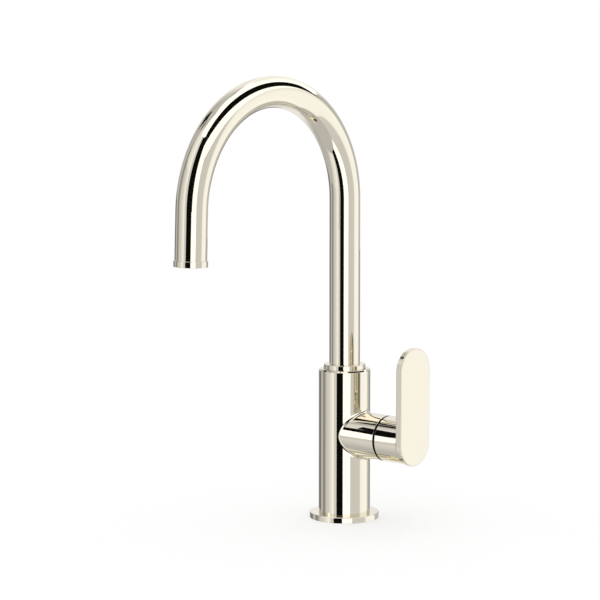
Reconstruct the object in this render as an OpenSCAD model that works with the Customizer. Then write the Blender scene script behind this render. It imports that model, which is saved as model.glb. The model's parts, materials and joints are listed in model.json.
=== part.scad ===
// Gooseneck bar faucet with one side lever, for a single hole in the deck.
// Millimetres. The origin is the centre of the base flange's underside, on the deck.
// +Z is up, the spout reaches towards -Y and the lever stands on the +X side.

/* [Spout tube] */
// Outside diameter of the spout tube
tube_od = 25; // [23:0.5:27]
// Wall of the spout tube
tube_wall = 1.2; // [0.8:0.1:1.6]
// Radius of the gooseneck bend, on the tube's centre line
bend_r = 89.8; // [60:0.2:120]
// Height of the start of the bend above the deck
bend_start_z = 261.8; // [200:0.2:320]
// Angle by which the bend stops short of a half turn
bend_short = 2.1; // [0:0.1:10]
// Straight length from the end of the bend to the outlet's mouth
drop_len = 42.8; // [25:0.2:90]

/* [Outlet] */
// Step by which the outlet ring stands out all round the tube
outlet_ring_step = 0.75; // [0.3:0.05:1.5]
// Height of the outlet ring
outlet_ring_h = 5; // [3:0.25:7]
// Length of the outlet ring's sleeve inside the tube
outlet_sleeve_len = 9; // [7:0.5:14]
// Wall of the outlet ring's sleeve
outlet_sleeve_wall = 1.25; // [1:0.05:1.6]
// Depth of the aerator's mouth above the ring's lower face
aerator_recess = 0.8; // [0.3:0.1:1.5]
// Height of the aerator body
aerator_h = 7; // [5:0.5:9]
// Wall of the aerator body
aerator_wall = 2.4; // [1.8:0.1:3]
// Thickness of the aerator's washer
aerator_washer_t = 1.2; // [0.8:0.1:2]
// Width of the ledge that the aerator's washer seals against
outlet_ledge_w = 1.6; // [1:0.1:2.5]
// Thickness of the aerator's screen
screen_t = 1; // [0.6:0.1:1.5]
// Diameter of the screen's holes
screen_hole_d = 1.3; // [0.8:0.1:1.6]
// Pitch of the screen's rings of holes
screen_pitch = 2.2; // [2:0.1:2.6]
// Width of the four key notches in the aerator's mouth
aerator_notch_w = 2; // [1:0.1:3]
// Depth of the four key notches in the aerator's mouth
aerator_notch_depth = 1.5; // [0.8:0.1:2.5]
// Width of the step in the aerator body that the screen lies on
screen_lap = 0.8; // [0.5:0.1:1.2]

/* [Body column] */
// Outside diameter of the column
body_d = 42; // [40:0.1:46]
// Height of the column's top above the deck
body_top_z = 123.4; // [112:0.2:150]
// Wall of the column, round the valve block and the spout joint
body_wall = 3.7; // [3.4:0.1:4]
// Chamfer on the column's top edge
body_chamfer = 1.2; // [0.4:0.1:2]
// Height of the ledge that carries the valve block
block_z = 30; // [24:1:34]

/* [Base flange] */
// Diameter of the base flange
flange_d = 56.6; // [50:0.2:64]
// Height of the base flange
flange_h = 4.8; // [4:0.2:8]
// Chamfer on the flange's top edge
flange_chamfer = 0.7; // [0.2:0.1:1]
// Depth of the recess that centres the column on the flange
flange_recess = 1; // [0.5:0.1:2]
// Width of the gasket in the flange's underside
gasket_w = 5; // [3:0.5:5.5]
// Thickness of the gasket
gasket_t = 1.5; // [1:0.1:2]
// Width of the flange's flat rim outside the gasket
flange_rim_w = 3.5; // [2:0.5:5]

/* [Deck fixing] */
// Outside diameter of the shank's thread
shank_d = 30; // [29.4:0.1:31]
// Bore of the shank, which the two hoses pass
shank_bore_d = 26; // [25.6:0.1:26.6]
// Length of the shank below the deck's surface
shank_drop = 58; // [50:1:80]
// Thickness of deck between the flange and the washers
deck_t = 30; // [10:1:35]
// Outside diameter of the two washers
washer_d = 48; // [44:1:54]
// Thickness of the rubber washer
rubber_washer_t = 3; // [2:0.5:4]
// Thickness of the steel washer
steel_washer_t = 1.5; // [1:0.5:2]
// Width across the flats of the mounting nut
deck_nut_af = 38; // [36:1:42]
// Height of the mounting nut
deck_nut_h = 8; // [6:1:12]

/* [Waterway] */
// Diameter of the hose inlets' threads
inlet_d = 10; // [9:0.5:10]
// Depth of the hose inlets' threads
inlet_depth = 12; // [8:1:16]
// Distance between the centres of the two hose inlets
inlet_pitch = 13; // [12:0.5:13]
// Distance of the hose inlets behind the column's axis
inlet_back = 4; // [3.5:0.1:4.2]
// Diameter of the drilled waterways
waterway_d = 6; // [4:0.5:6]

/* [Valve boss] */
// Outside diameter of the side boss and of the handle's hub
boss_d = 36.9; // [35.5:0.1:38]
// Height of the boss's axis above the deck
boss_z = 70.6; // [62:0.2:72]
// Bore of the boss, threaded for the retaining nut and the dome
boss_bore_d = 29; // [28.4:0.1:29.6]
// Radius of the ball-shaped end of the boss, about the lever's pivot
ball_r = 20.6; // [20:0.1:21.4]
// Gap between the ball-shaped end and the handle's hub
ball_gap = 0.75; // [0.3:0.05:0.8]

/* [Handle] */
// Distance of the lever's pivot from the column's axis
pivot_x = 35.5; // [35.2:0.1:36]
// Angle through which the lever tilts from closed to fully open, in degrees
lever_travel = 22; // [16:1:24]
// Wall between the hub's ball-shaped cavity and the set screw
grip_wall = 0.6; // [0.3:0.1:0.8]
// Distance of the plate's inner face from the column's axis
plate_x = 68.8; // [67:0.1:72]
// Thickness of the lever plate
plate_t = 5.4; // [4:0.1:7]
// Height of the lever plate's top above the deck
plate_top_z = 146.6; // [120:0.2:170]
// Distance by which the lever plate reaches below the hub
plate_foot = 0.8; // [0:0.1:2]
// Chamfer round both faces of the lever plate
plate_chamfer = 0.8; // [0.2:0.1:1]
// Diameter of the hub's spigot in the plate
hub_spigot_d = 16; // [10:1:22]
// Length of the hub's spigot in the plate
hub_spigot_len = 2.5; // [1.5:0.1:3]
// Diameter of the set screw that grips the stem
grip_screw_d = 5; // [4:0.5:5.5]
// Length of the set screw that grips the stem
grip_screw_len = 8; // [6:0.5:9]
// Diameter of the plug over the set screw
plug_d = 6.5; // [6:0.5:7]
// Length of the plug over the set screw
plug_len = 3; // [2:0.5:4]
// Width across the flats of the set screw's socket
grip_socket_af = 2.5; // [2:0.5:3]
// Depth of the set screw's socket
grip_socket_len = 3; // [2:0.5:4]

/* [Cartridge] */
// Outside diameter of the cartridge
cartridge_d = 25; // [24.6:0.1:25.4]
// Distance of the cartridge's seat from the column's axis
seat_x = 2; // [1.6:0.1:2.4]
// Wall of the cartridge housing
housing_wall = 1.5; // [1.3:0.1:1.7]
// Height of the housing's skirt above the cartridge's seat
housing_lift = 0.6; // [0.3:0.1:1]
// Thickness of the housing's shoulder
shoulder_t = 1.65; // [1.4:0.05:1.8]
// Outside diameter of the housing's neck
neck_d = 18; // [17.6:0.1:18.4]
// Length of the housing's neck
neck_len = 9.6; // [9:0.1:10]
// Length of the housing's neck beyond the lever's pivot
neck_past_pivot = 2.5; // [2:0.1:3]
// Thickness of the cartridge's base
base_t = 4.5; // [4:0.1:4.8]
// Radius of the circle on which the three ports lie
port_circle_r = 5.8; // [5.6:0.1:5.9]
// Diameter of the three ports
port_d = 4.8; // [4:0.1:4.8]
// Thickness of a port seal's cord
port_seal_cord = 1.6; // [1.4:0.1:1.6]
// Thickness of the fixed ceramic disc
fixed_disc_t = 4; // [3.6:0.1:4.2]
// Width of the fixed disc's three curved windows
window_w = 3.6; // [2.6:0.1:4.2]
// Sweep of the fixed disc's three curved windows, in degrees
window_turn = 64; // [40:1:80]
// Diameter of the moving ceramic disc
moving_disc_d = 16.4; // [15.6:0.1:16.8]
// Thickness of the moving ceramic disc
moving_disc_t = 3.5; // [3.2:0.1:3.6]
// Diameter of the mixing pocket in the moving disc
pocket_d = 9; // [7:0.5:10]
// Depth of the mixing pocket in the moving disc
pocket_depth = 1.6; // [1:0.1:1.8]
// Diameter of the pegs that drive the moving disc
peg_d = 2; // [1.6:0.1:2.4]
// Length of the pegs that drive the moving disc
peg_len = 1.5; // [1:0.1:1.6]
// Distance between the two pegs
peg_pitch = 11; // [10:0.5:12]
// Thickness of the carrier's plate over the moving disc
carrier_t = 3.2; // [2.8:0.1:3.4]
// Diameter of the carrier's socket boss
socket_boss_d = 8; // [7.6:0.1:8.2]

/* [Turret and stem] */
// Diameter of the turret's neck
turret_d = 14.6; // [14.4:0.1:14.8]
// Diameter of the turret's shoulder
turret_shoulder_d = 21.2; // [20.8:0.1:21.4]
// Length of the turret beyond the housing's neck
turret_proud = 1.5; // [1:0.1:2]
// Diameter of the pivot pin
pivot_pin_d = 2.5; // [2:0.1:3]
// Length of the pivot pin
pivot_pin_len = 14; // [13:0.1:14.2]
// Thickness of the turret seal's cord
turret_seal_cord = 1.24; // [1:0.02:1.3]
// Width of the square stem that carries the hub
stem_w = 7; // [6:0.1:7.2]
// Thickness of the stem inside the turret
stem_blade_t = 5; // [4:0.1:5.2]
// Length of the stem's blade behind the pivot
stem_heel = 4.5; // [4:0.1:5]
// Diameter of the stem's arm behind the blade
stem_arm_d = 3.6; // [3:0.1:4]
// Length of the stem from the pivot to its outer end
stem_len = 27; // [25:0.5:28]
// Length from the pivot to the centre of the stem's ball end
ball_arm = 10; // [9.6:0.1:10.2]
// Diameter of the stem's ball end
stem_ball_d = 5; // [4.4:0.1:5.2]

/* [Retaining nut and dome] */
// Height of the retaining nut's threaded ring
nut_ring_h = 4; // [3:0.1:4.2]
// Height of the retaining nut's hexagon
nut_hex_h = 3; // [2:0.1:3.2]
// Width across the flats of the retaining nut's hexagon
nut_hex_af = 22; // [21:0.1:22.4]
// Wall of the dome cap
dome_wall = 1.8; // [1.4:0.1:2]
// Diameter of the dome cap's opening for the stem
dome_opening_d = 18; // [17:0.1:20]

/* [Spout joint] */
// Gap between the collar at the foot of the spout tube and the column's bore
collar_gap = 0.45; // [0.2:0.05:0.8]
// Height by which the collar stands out of the column
collar_rise = 3.8; // [3:0.1:8]
// Chamfer on the collar's top edge
collar_chamfer = 0.4; // [0.2:0.1:0.8]
// Thickness of the thrust washer under the spout
thrust_washer_t = 1.5; // [1:0.1:2]
// Height of the nipple's flange
nipple_flange_h = 7; // [6:0.5:9]
// Length of the nipple's sleeve inside the tube
nipple_sleeve_len = 12; // [8:0.5:16]
// Height of the valve block's top above the boss's axis
block_top_rise = 26.5; // [26:0.5:29]
// Diameter of the nipple's spigot in the valve block
spigot_d = 17.84; // [17:0.02:18.4]
// Length of the nipple's spigot in the valve block
spigot_len = 12; // [10:0.5:12]
// Bore of the nipple
nipple_bore_d = 11; // [8:0.5:12]
// Thickness of the two spigot seals' cord
spigot_seal_cord = 2; // [1.6:0.1:2.2]
// Distance between the two spigot seals
spigot_seal_pitch = 5; // [4:0.5:5.5]
// Height of the collar bushing
bushing_h = 6; // [4:0.5:7]
// Thickness of the collar bushing
bushing_t = 1.35; // [1:0.05:1.6]
// Depth of the collar bushing's top below the column's top
bushing_depth = 3; // [2:0.5:4]
// Diameter of the lock screw in the column's back
lock_screw_d = 4; // [3:0.5:5]
// Diameter of the lock screw's dog point
dog_point_d = 2.5; // [2:0.1:2.8]
// Depth of the nipple's groove for the dog point
lock_groove_depth = 1.8; // [1.2:0.1:2.2]
// Width across the flats, and depth, of the lock screw's socket
lock_socket_af = 2; // [1.5:0.5:2]

/* [Clearances] */
// Radial clearance of turning fits
run_fit = 0.05; // [0.03:0.01:0.08]
// Radial clearance of pieces that are screwed, soldered or seated together
seat_fit = 0.05; // [0.02:0.01:0.08]
// Free gap between pieces that pass without touching
free_gap = 0.3; // [0.2:0.05:0.35]
// Film of grease between the two ceramic discs
disc_film = 0.05; // [0.03:0.01:0.1]
// Room along the groove beside each seal's cord
groove_room = 0.4; // [0.2:0.1:0.6]

/* [Hidden] */
$fn = 96;

over = 1;                                   // how far a cutter runs past a face
nickel = "#e8dcc6";
brass = "#c9a558";
ceramic = "#f4f2ec";
rubber = "#26272a";
acetal = "#e4e6e8";
steel = "#b9bcc0";

// Spout
tube_r = tube_od / 2;
tube_bore_r = tube_r - tube_wall;
bend_turn = 180 - bend_short;
leg_lap = 0.2;                              // how far the straight leg runs into the bend's wall
leg_relief = 0.05;                          // how much the leg's wall lies inside the bend's, each side
outlet_ring_r = tube_r + outlet_ring_step;
outlet_sleeve_r = tube_bore_r - seat_fit;
outlet_thread_r = outlet_sleeve_r - outlet_sleeve_wall;
aerator_r = outlet_thread_r - seat_fit;
aerator_bore_r = aerator_r - aerator_wall;

// Column, flange and deck fixing
body_r = body_d / 2;
body_bore_r = body_r - body_wall;
body_foot_z = flange_h - flange_recess;
shank_r = shank_d / 2;
thread_r = shank_r + seat_fit;
shank_hole_r = shank_r + free_gap;
shank_top_z = block_z - 2 * free_gap;
gasket_out_r = flange_d / 2 - flange_rim_w;
gasket_in_r = gasket_out_r - gasket_w;

// Waterway
block_r = body_bore_r - seat_fit;
block_top_z = boss_z + block_top_rise;
seat_r = cartridge_d / 2 + seat_fit;
socket_r = spigot_d / 2 + run_fit;
spigot_foot_z = block_top_z + thrust_washer_t - spigot_len;
socket_floor_z = spigot_foot_z - 3 * free_gap;

// Cartridge, along the boss's axis
boss_r = boss_d / 2;
boss_bore_r = boss_bore_d / 2;
housing_r = cartridge_d / 2;
housing_bore_r = housing_r - housing_wall;
housing_foot_x = seat_x + housing_lift;
fixed_disc_x = seat_x + base_t;
moving_disc_x = fixed_disc_x + fixed_disc_t + disc_film;
carrier_x = moving_disc_x + moving_disc_t;
turret_x = carrier_x + carrier_t + free_gap;
ball_x = pivot_x - ball_arm;
neck_end_x = pivot_x + neck_past_pivot;
shoulder_x = neck_end_x - neck_len;
turret_ledge_x = shoulder_x - shoulder_t - free_gap / 2;
turret_end_x = neck_end_x + turret_proud;
half_travel = lever_travel / 2;
disc_throw = ball_arm * sin(half_travel);
port_angles = [90, 210, 330];               // outlet on top, the two inlets below

turret_groove_w = turret_seal_cord + groove_room;
turret_groove_r = turret_d / 2 - turret_seal_cord - seat_fit;
turret_groove_x = (shoulder_x + pivot_x - pivot_pin_d / 2) / 2;
pocket_r = port_d / 2 + port_seal_cord + 2 * seat_fit;
socket_len = stem_ball_d;                   // depth of the carrier's socket
socket_top_x = ball_x + stem_ball_d / 3;

// Handle
plate_r = boss_r;
plate_low_z = boss_z - plate_foot;
plate_high_z = plate_top_z - plate_r;
socket_depth_x = stem_len + free_gap;
grip_screw_x = ball_r + ball_gap + grip_wall + grip_screw_d / 2;
// Distance from the stem's axis to the plug's inner face, along the set screw
plug_seat_depth = boss_r + grip_screw_x * sin(half_travel) - plug_len;

// Spout joint
spigot_groove_w = spigot_seal_cord + groove_room;
spigot_groove_r = spigot_d / 2 - spigot_seal_cord - seat_fit;
spigot_seals_z = spigot_foot_z + (spigot_len - thrust_washer_t) / 2;
nipple_z = block_top_z + thrust_washer_t;
tube_foot_z = nipple_z + nipple_flange_h;
collar_r = body_bore_r - collar_gap;
collar_top_z = body_top_z + collar_rise;
bushing_r = body_bore_r - run_fit;
bushing_z = body_top_z - bushing_depth - bushing_h;
lock_z = nipple_z + nipple_flange_h / 2;
lock_groove_r = collar_r - lock_groove_depth;

// Outlet, in its own frame
mouth_z = -drop_len;
ring_top_z = mouth_z + outlet_ring_h;
aerator_z = mouth_z + aerator_recess;
screen_z = aerator_z + aerator_h - screen_t;
ledge_z = aerator_z + aerator_h + aerator_washer_t;
screen_r = aerator_bore_r + screen_lap;
screen_rings = floor((aerator_bore_r - screen_hole_d / 2) / screen_pitch);

// A flat ring or a tube, standing on its lower face
module ring(outer_r, inner_r, h) {
    rotate_extrude()
        translate([inner_r, 0])
            square([outer_r - inner_r, h]);
}

// A round seal lying about the local Z axis
module o_ring(middle_r, cord) {
    rotate_extrude()
        translate([middle_r, 0])
            circle(d = cord, $fn = 32);
}

// Local +Z runs outwards along the boss's axis, from x
module along_boss(x) {
    translate([x, 0, boss_z])
        rotate([0, 90, 0])
            children();
}

// The stem's own frame: origin at the pivot, +X along the stem, leaning up when closed
module in_stem() {
    translate([pivot_x, 0, boss_z])
        rotate([0, -half_travel, 0])
            children();
}

// The outlet's own frame: origin at the end of the bend, -Z along the flow
module at_outlet() {
    translate([0, -bend_r * (1 + cos(bend_short)), bend_start_z + bend_r * sin(bend_short)])
        rotate([-bend_short, 0, 0])
            children();
}

// Places a child at each of the cartridge's ports, in the boss's frame
module at_ports() {
    for (a = port_angles)
        translate([-port_circle_r * sin(a), port_circle_r * cos(a), 0])
            children();
}

// ---- Deck side ----

module base_flange() {
    color(nickel)
        difference() {
            rotate_extrude()
                polygon([
                    [shank_hole_r, 0],
                    [flange_d / 2, 0],
                    [flange_d / 2, flange_h - flange_chamfer],
                    [flange_d / 2 - flange_chamfer, flange_h],
                    [body_r + seat_fit, flange_h],
                    [body_r + seat_fit, body_foot_z],
                    [shank_hole_r, body_foot_z]
                ]);
            translate([0, 0, -over])
                ring(gasket_out_r, gasket_in_r, gasket_t + over);
        }
}

module base_gasket() {
    color(rubber)
        ring(gasket_out_r - seat_fit, gasket_in_r + seat_fit, gasket_t);
}

module threaded_shank() {
    color(brass)
        translate([0, 0, -shank_drop])
            ring(shank_r, shank_bore_d / 2, shank_drop + shank_top_z);
}

module rubber_washer() {
    color(rubber)
        translate([0, 0, -deck_t - rubber_washer_t])
            ring(washer_d / 2, shank_hole_r, rubber_washer_t);
}

module steel_washer() {
    color(steel)
        translate([0, 0, -deck_t - rubber_washer_t - steel_washer_t])
            ring(washer_d / 2, shank_hole_r, steel_washer_t);
}

module mounting_nut() {
    nut_z = -deck_t - rubber_washer_t - steel_washer_t - deck_nut_h;
    color(brass)
        translate([0, 0, nut_z])
            difference() {
                cylinder(d = deck_nut_af / cos(30), h = deck_nut_h, $fn = 6);
                translate([0, 0, -over])
                    cylinder(r = thread_r, h = deck_nut_h + 2 * over);
            }
}

// ---- Column ----

module column_outline() {
    rotate_extrude()
        polygon([
            [thread_r, body_foot_z],
            [body_r, body_foot_z],
            [body_r, body_top_z - body_chamfer],
            [body_r - body_chamfer, body_top_z],
            [body_bore_r, body_top_z],
            [body_bore_r, block_z],
            [thread_r, block_z]
        ]);
}

// Everything outside the ball-shaped end, beyond the pivot
module outside_ball() {
    reach = ball_r + 2 * over;
    along_boss(pivot_x)
        difference() {
            cylinder(r = reach, h = reach);
            sphere(r = ball_r);
        }
}

module body_shell() {
    color(nickel)
        difference() {
            union() {
                column_outline();
                difference() {
                    along_boss(0)
                        cylinder(r = boss_r, h = pivot_x + ball_r);
                    outside_ball();
                    translate([0, 0, boss_z - boss_r - over])
                        cylinder(r = body_bore_r, h = 2 * (boss_r + over));
                }
            }
            along_boss(0)
                cylinder(r = boss_bore_r, h = pivot_x + ball_r + over);
            translate([0, body_bore_r - over, lock_z])
                rotate([-90, 0, 0])
                    cylinder(d = lock_screw_d + 2 * seat_fit, h = body_r - body_bore_r + 2 * over);
        }
}

module valve_block() {
    inlet_port_z = boss_z + port_circle_r * sin(port_angles[1]);
    outlet_port_z = boss_z + port_circle_r;
    color(brass)
        difference() {
            translate([0, 0, block_z])
                cylinder(r = block_r, h = block_top_z - block_z);
            // Seat of the cartridge
            along_boss(seat_x)
                cylinder(r = seat_r, h = block_r + over);
            // Ports from the seat's floor to the rising waterways
            along_boss(-inlet_back)
                at_ports()
                    cylinder(d = port_d, h = seat_x + inlet_back + over);
            // Socket of the spout's nipple
            translate([0, 0, socket_floor_z])
                cylinder(r = socket_r, h = block_top_z - socket_floor_z + over);
            // Outlet waterway, up to the socket
            translate([-inlet_back, 0, outlet_port_z])
                cylinder(d = waterway_d, h = socket_floor_z - outlet_port_z + over);
            // Hose inlets and their waterways
            for (side = [-1, 1])
                translate([-inlet_back, side * inlet_pitch / 2, block_z]) {
                    translate([0, 0, -over])
                        cylinder(d = inlet_d, h = inlet_depth + over);
                    cylinder(d = waterway_d, h = inlet_port_z - block_z);
                }
        }
}

// ---- Cartridge ----

module cartridge_housing() {
    color(acetal)
        along_boss(0)
            rotate_extrude()
                polygon([
                    [housing_bore_r, housing_foot_x],
                    [housing_r, housing_foot_x],
                    [housing_r, shoulder_x],
                    [neck_d / 2, shoulder_x],
                    [neck_d / 2, neck_end_x],
                    [turret_d / 2 + run_fit, neck_end_x],
                    [turret_d / 2 + run_fit, shoulder_x - shoulder_t],
                    [housing_bore_r, shoulder_x - shoulder_t]
                ]);
}

module cartridge_base() {
    color(acetal)
        along_boss(seat_x)
            difference() {
                cylinder(r = housing_bore_r - seat_fit, h = base_t);
                at_ports()
                    translate([0, 0, -over])
                        cylinder(d = port_d, h = base_t + 2 * over);
                at_ports()
                    translate([0, 0, -over])
                        cylinder(r = pocket_r, h = port_seal_cord + over);
            }
}

module port_seals() {
    color(rubber)
        along_boss(seat_x)
            at_ports()
                translate([0, 0, port_seal_cord / 2])
                    o_ring(port_d / 2 + port_seal_cord / 2 + seat_fit, port_seal_cord);
}

module fixed_disc() {
    color(ceramic)
        along_boss(fixed_disc_x)
            difference() {
                cylinder(r = housing_bore_r - seat_fit, h = fixed_disc_t);
                for (a = port_angles)
                    rotate(a + 90 - window_turn / 2)
                        translate([0, 0, -over])
                            rotate_extrude(angle = window_turn)
                                translate([port_circle_r - window_w / 2, 0])
                                    square([window_w, fixed_disc_t + 2 * over]);
            }
}

// Pegs that drive the moving disc, or the holes that take them
module pegs(grow) {
    for (side = [-1, 1])
        translate([0, side * peg_pitch / 2, -peg_len - grow])
            cylinder(d = peg_d + 2 * grow, h = peg_len + grow + over);
}

module moving_disc() {
    color(ceramic)
        translate([0, 0, -disc_throw])
            along_boss(moving_disc_x)
                difference() {
                    cylinder(d = moving_disc_d, h = moving_disc_t);
                    translate([-disc_throw, 0, -over])
                        cylinder(d = pocket_d, h = pocket_depth + over);
                    translate([0, 0, moving_disc_t])
                        pegs(seat_fit);
                }
}

module disc_carrier() {
    boss_len = socket_top_x - carrier_x;
    color(acetal)
        translate([0, 0, -disc_throw])
            along_boss(carrier_x)
                difference() {
                    union() {
                        cylinder(d = moving_disc_d, h = carrier_t);
                        cylinder(d = socket_boss_d, h = boss_len);
                        intersection() {
                            pegs(0);
                            translate([0, 0, -peg_len])
                                cylinder(d = moving_disc_d, h = peg_len + carrier_t / 2);
                        }
                    }
                    translate([0, 0, boss_len - socket_len])
                        cylinder(r = stem_ball_d / 2 + run_fit * 2, h = socket_len + over);
                }
}

module turret() {
    carrier_slot_w = socket_boss_d + 2 * free_gap;
    carrier_slot_h = socket_boss_d + 2 * disc_throw + 2 * free_gap;
    carrier_slot_end_x = socket_top_x + 3 * free_gap;
    stem_slot_h = stem_w + 2 * (turret_end_x - pivot_x) * tan(half_travel) + 3 * free_gap;
    color(acetal)
        difference() {
            along_boss(0)
                rotate_extrude()
                    polygon([
                        [0, turret_x],
                        [turret_shoulder_d / 2, turret_x],
                        [turret_shoulder_d / 2, turret_ledge_x],
                        [turret_d / 2, turret_ledge_x],
                        [turret_d / 2, turret_end_x],
                        [0, turret_end_x]
                    ]);
            translate([turret_x - over, -carrier_slot_w / 2, boss_z - carrier_slot_h / 2])
                cube([carrier_slot_end_x - turret_x + over, carrier_slot_w, carrier_slot_h]);
            translate([carrier_slot_end_x - over, -stem_blade_t / 2 - run_fit, boss_z - stem_slot_h / 2])
                cube([turret_end_x - carrier_slot_end_x + 2 * over, stem_blade_t + 2 * run_fit, stem_slot_h]);
            translate([pivot_x, -turret_d / 2 - over, boss_z])
                rotate([-90, 0, 0])
                    cylinder(r = pivot_pin_d / 2 + seat_fit / 2, h = turret_d + 2 * over);
            along_boss(turret_groove_x - turret_groove_w / 2)
                ring(turret_d / 2 + over, turret_groove_r, turret_groove_w);
        }
}

module turret_seal() {
    color(rubber)
        along_boss(turret_groove_x)
            o_ring(turret_d / 2 - turret_seal_cord / 2, turret_seal_cord);
}

module pivot_pin() {
    color(steel)
        translate([pivot_x, -pivot_pin_len / 2, boss_z])
            rotate([-90, 0, 0])
                cylinder(d = pivot_pin_d, h = pivot_pin_len);
}

module lever_stem() {
    square_x = turret_end_x - pivot_x + stem_w / 2 * tan(half_travel) + 3 * free_gap;
    color(brass)
        in_stem()
            difference() {
                union() {
                    translate([-stem_heel, -stem_blade_t / 2, -stem_w / 2])
                        cube([square_x + stem_heel + over, stem_blade_t, stem_w]);
                    translate([square_x, -stem_w / 2, -stem_w / 2])
                        cube([stem_len - square_x, stem_w, stem_w]);
                    translate([-ball_arm, 0, 0])
                        rotate([0, 90, 0])
                            cylinder(d = stem_arm_d, h = ball_arm - stem_heel + over);
                    translate([-ball_arm, 0, 0])
                        sphere(d = stem_ball_d);
                }
                translate([0, -stem_w, 0])
                    rotate([-90, 0, 0])
                        cylinder(r = pivot_pin_d / 2 + run_fit, h = 2 * stem_w);
            }
}

module retaining_nut() {
    color(brass)
        along_boss(shoulder_x)
            difference() {
                union() {
                    cylinder(r = boss_bore_r - seat_fit, h = nut_ring_h);
                    cylinder(d = nut_hex_af / cos(30), h = nut_ring_h + nut_hex_h, $fn = 6);
                }
                translate([0, 0, -over])
                    cylinder(r = neck_d / 2 + free_gap, h = nut_ring_h + nut_hex_h + 2 * over);
            }
}

module dome_cap() {
    foot_x = shoulder_x + nut_ring_h + nut_hex_h + free_gap;
    cavity_r = boss_bore_r - dome_wall;
    color(nickel)
        difference() {
            along_boss(foot_x)
                cylinder(r = boss_bore_r - seat_fit, h = pivot_x + ball_r - foot_x);
            outside_ball();
            intersection() {
                along_boss(pivot_x)
                    sphere(r = ball_r - dome_wall);
                along_boss(foot_x - over)
                    cylinder(r = cavity_r, h = 2 * ball_r);
            }
            along_boss(foot_x)
                cylinder(d = dome_opening_d, h = 2 * ball_r);
        }
}

// ---- Handle ----

module handle_hub() {
    color(nickel)
        difference() {
            union() {
                along_boss(pivot_x)
                    cylinder(r = boss_r, h = plate_x - pivot_x);
                along_boss(plate_x - over)
                    cylinder(d = hub_spigot_d, h = hub_spigot_len + over);
            }
            along_boss(pivot_x)
                sphere(r = ball_r + ball_gap);
            in_stem() {
                translate([0, -stem_w / 2 - seat_fit, -stem_w / 2 - seat_fit])
                    cube([socket_depth_x, stem_w + 2 * seat_fit, stem_w + 2 * seat_fit]);
                translate([grip_screw_x, 0, -2 * boss_r])
                    cylinder(r = grip_screw_d / 2 + seat_fit, h = 2 * boss_r);
                translate([grip_screw_x, 0, -2 * boss_r])
                    cylinder(r = plug_d / 2 + seat_fit, h = 2 * boss_r - plug_seat_depth);
            }
        }
}

module grip_screw() {
    tip_z = -stem_w / 2 - grip_screw_len;
    color(steel)
        in_stem()
            translate([grip_screw_x, 0, tip_z])
                difference() {
                    cylinder(d = grip_screw_d, h = grip_screw_len);
                    translate([0, 0, -over])
                        cylinder(d = grip_socket_af / cos(30), h = grip_socket_len + over, $fn = 6);
                }
}

module grip_screw_plug() {
    color(nickel)
        intersection() {
            in_stem()
                translate([grip_screw_x, 0, -2 * boss_r])
                    cylinder(d = plug_d, h = 2 * boss_r - plug_seat_depth);
            along_boss(pivot_x)
                cylinder(r = boss_r, h = plate_x - pivot_x);
        }
}

// Half of the plate's section, from its middle line to its edge
module plate_section() {
    polygon([
        [0, 0],
        [plate_r - plate_chamfer, 0],
        [plate_r, plate_chamfer],
        [plate_r, plate_t - plate_chamfer],
        [plate_r - plate_chamfer, plate_t],
        [0, plate_t]
    ]);
}

module lever_plate() {
    color(nickel)
        difference() {
            union() {
                for (end_z = [plate_low_z, plate_high_z])
                    translate([plate_x, 0, end_z])
                        rotate([0, 90, 0])
                            rotate_extrude()
                                plate_section();
                for (side = [0, 1])
                    translate([plate_x, 0, plate_low_z])
                        mirror([0, side, 0])
                            rotate([0, 0, 90])
                                mirror([0, 1, 0])
                                    linear_extrude(plate_high_z - plate_low_z)
                                        plate_section();
            }
            along_boss(plate_x - over)
                cylinder(r = hub_spigot_d / 2 + seat_fit, h = hub_spigot_len + seat_fit + over);
        }
}

// ---- Spout ----

module spout_tube() {
    color(nickel)
        union() {
            translate([0, 0, tube_foot_z])
                ring(tube_r, tube_bore_r, bend_start_z - tube_foot_z);
            translate([0, -bend_r, bend_start_z])
                rotate([90, 0, 90])
                    rotate_extrude(angle = bend_turn)
                        translate([bend_r, 0])
                            difference() {
                                circle(r = tube_r);
                                circle(r = tube_bore_r);
                            }
            at_outlet()
                translate([0, 0, ring_top_z])
                    ring(tube_r - leg_relief, tube_bore_r + leg_relief, drop_len - outlet_ring_h + leg_lap);
        }
}

module spout_collar() {
    color(nickel)
        difference() {
            rotate_extrude()
                polygon([
                    [tube_r + seat_fit, tube_foot_z],
                    [collar_r, tube_foot_z],
                    [collar_r, collar_top_z - collar_chamfer],
                    [collar_r - collar_chamfer, collar_top_z],
                    [tube_r + seat_fit, collar_top_z]
                ]);
            translate([0, 0, bushing_z - seat_fit])
                ring(collar_r + over, bushing_r - bushing_t - seat_fit, bushing_h + 2 * seat_fit);
        }
}

module spout_nipple() {
    color(brass)
        difference() {
            union() {
                translate([0, 0, spigot_foot_z])
                    cylinder(d = spigot_d, h = spigot_len);
                translate([0, 0, nipple_z])
                    cylinder(r = collar_r, h = nipple_flange_h);
                translate([0, 0, tube_foot_z - over])
                    cylinder(r = tube_bore_r - seat_fit, h = nipple_sleeve_len + over);
            }
            translate([0, 0, spigot_foot_z - over])
                cylinder(d = nipple_bore_d, h = tube_foot_z + nipple_sleeve_len - spigot_foot_z + 2 * over);
            translate([0, 0, lock_z - dog_point_d / 2 - free_gap])
                ring(collar_r + over, lock_groove_r, dog_point_d + 2 * free_gap);
            for (side = [-1, 1])
                translate([0, 0, spigot_seals_z + (side * spigot_seal_pitch - spigot_groove_w) / 2])
                    ring(spigot_d / 2 + over, spigot_groove_r, spigot_groove_w);
        }
}

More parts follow.
